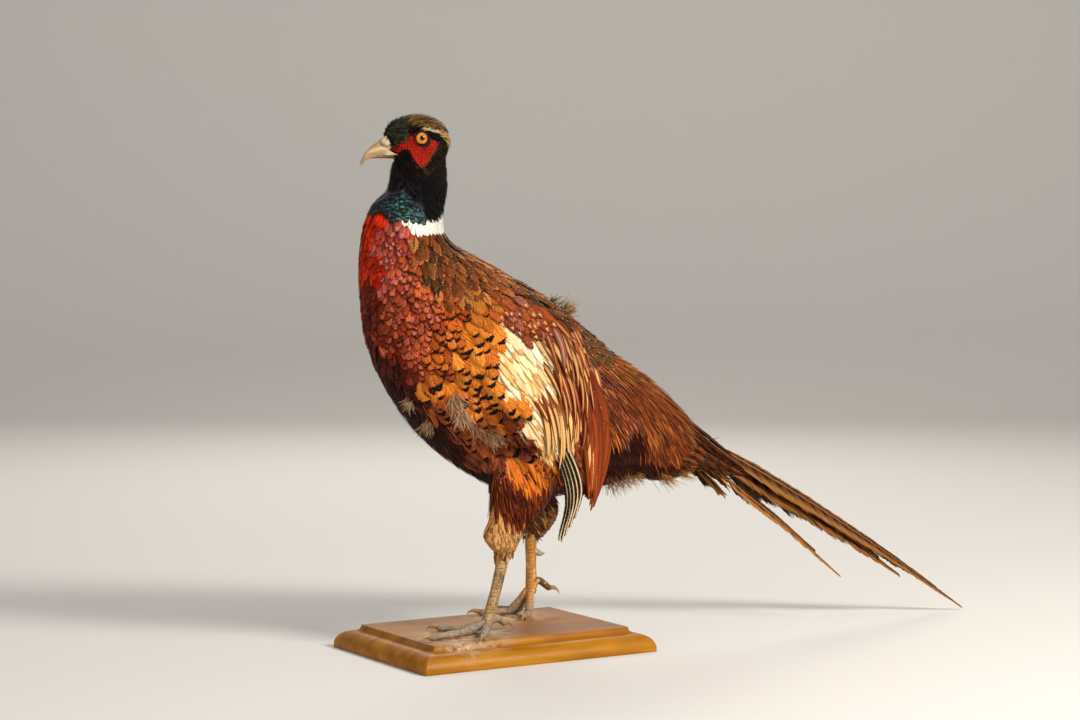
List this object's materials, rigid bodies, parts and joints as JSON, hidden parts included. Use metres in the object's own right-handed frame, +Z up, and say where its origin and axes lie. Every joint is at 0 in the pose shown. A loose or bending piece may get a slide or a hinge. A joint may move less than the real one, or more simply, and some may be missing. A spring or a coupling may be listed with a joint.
{
  "type": "taxidermy pheasant",
  "caption": "Life-size mounted cock pheasant in mid-stride on a moulded wooden base, with a ringed neck, folded wings and a long tail.",
  "frame": {"origin": "centre of the wooden base's underside", "axes": "+Z up; the bird faces -X, its left side is on -Y and its tail runs back along +X"},
  "size_m": [0.613, 0.168, 0.4621],
  "materials": {
    "base_wood": "clear-varnished honey-brown softwood, satin",
    "plumage_head": "short black feathers with a bronze crown, a pale brow line and bare red face skin",
    "plumage_neck": "glossy black, blue-green feathers above a white collar",
    "plumage_body": "coppery red and orange scale feathers with dark edges",
    "plumage_rump": "long rust and maroon hair-like plumes",
    "plumage_wing": "cream and rust coverts with dark edges",
    "plumage_flight": "dark brown flight feathers with cream bars",
    "plumage_thigh": "soft orange-brown feathers, tan at the heel",
    "plumage_tail": "olive-brown barred tail feathers with rufous fringes",
    "leg_skin": "dry yellow-tan scaled skin, greyish on the toes",
    "bill_horn": "pale horn, semi-gloss",
    "claw_horn": "dull brown horn",
    "eye_glass": "glass eye with an orange iris and a black pupil"
  },
  "bodies": {
    "root": {"base": "base_wood", "head": "plumage_head", "neck": "plumage_neck", "trunk": "plumage_body", "rump": "plumage_rump", "bill_upper": "bill_horn", "bill_lower": "bill_horn", "eye_left": "eye_glass", "eye_right": "eye_glass", "wing_left": "plumage_wing", "primaries_left": "plumage_flight", "thigh_left": "plumage_thigh", "shank_left": "leg_skin", "foot_left": "leg_skin", "spur_left": "claw_horn", "claw_left_inner": "claw_horn", "claw_left_middle": "claw_horn", "claw_left_outer": "claw_horn", "claw_left_hallux": "claw_horn", "tail_feather_left_1": "plumage_tail", "tail_feather_left_2": "plumage_tail", "tail_feather_left_3": "plumage_tail", "tail_feather_left_4": "plumage_tail", "wing_right": "plumage_wing", "primaries_right": "plumage_flight", "thigh_right": "plumage_thigh", "shank_right": "leg_skin", "foot_right": "leg_skin", "spur_right": "claw_horn", "claw_right_inner": "claw_horn", "claw_right_middle": "claw_horn", "claw_right_outer": "claw_horn", "claw_right_hallux": "claw_horn", "tail_feather_right_1": "plumage_tail", "tail_feather_right_2": "plumage_tail", "tail_feather_right_3": "plumage_tail", "tail_feather_right_4": "plumage_tail"}
  },
  "joints": []
}
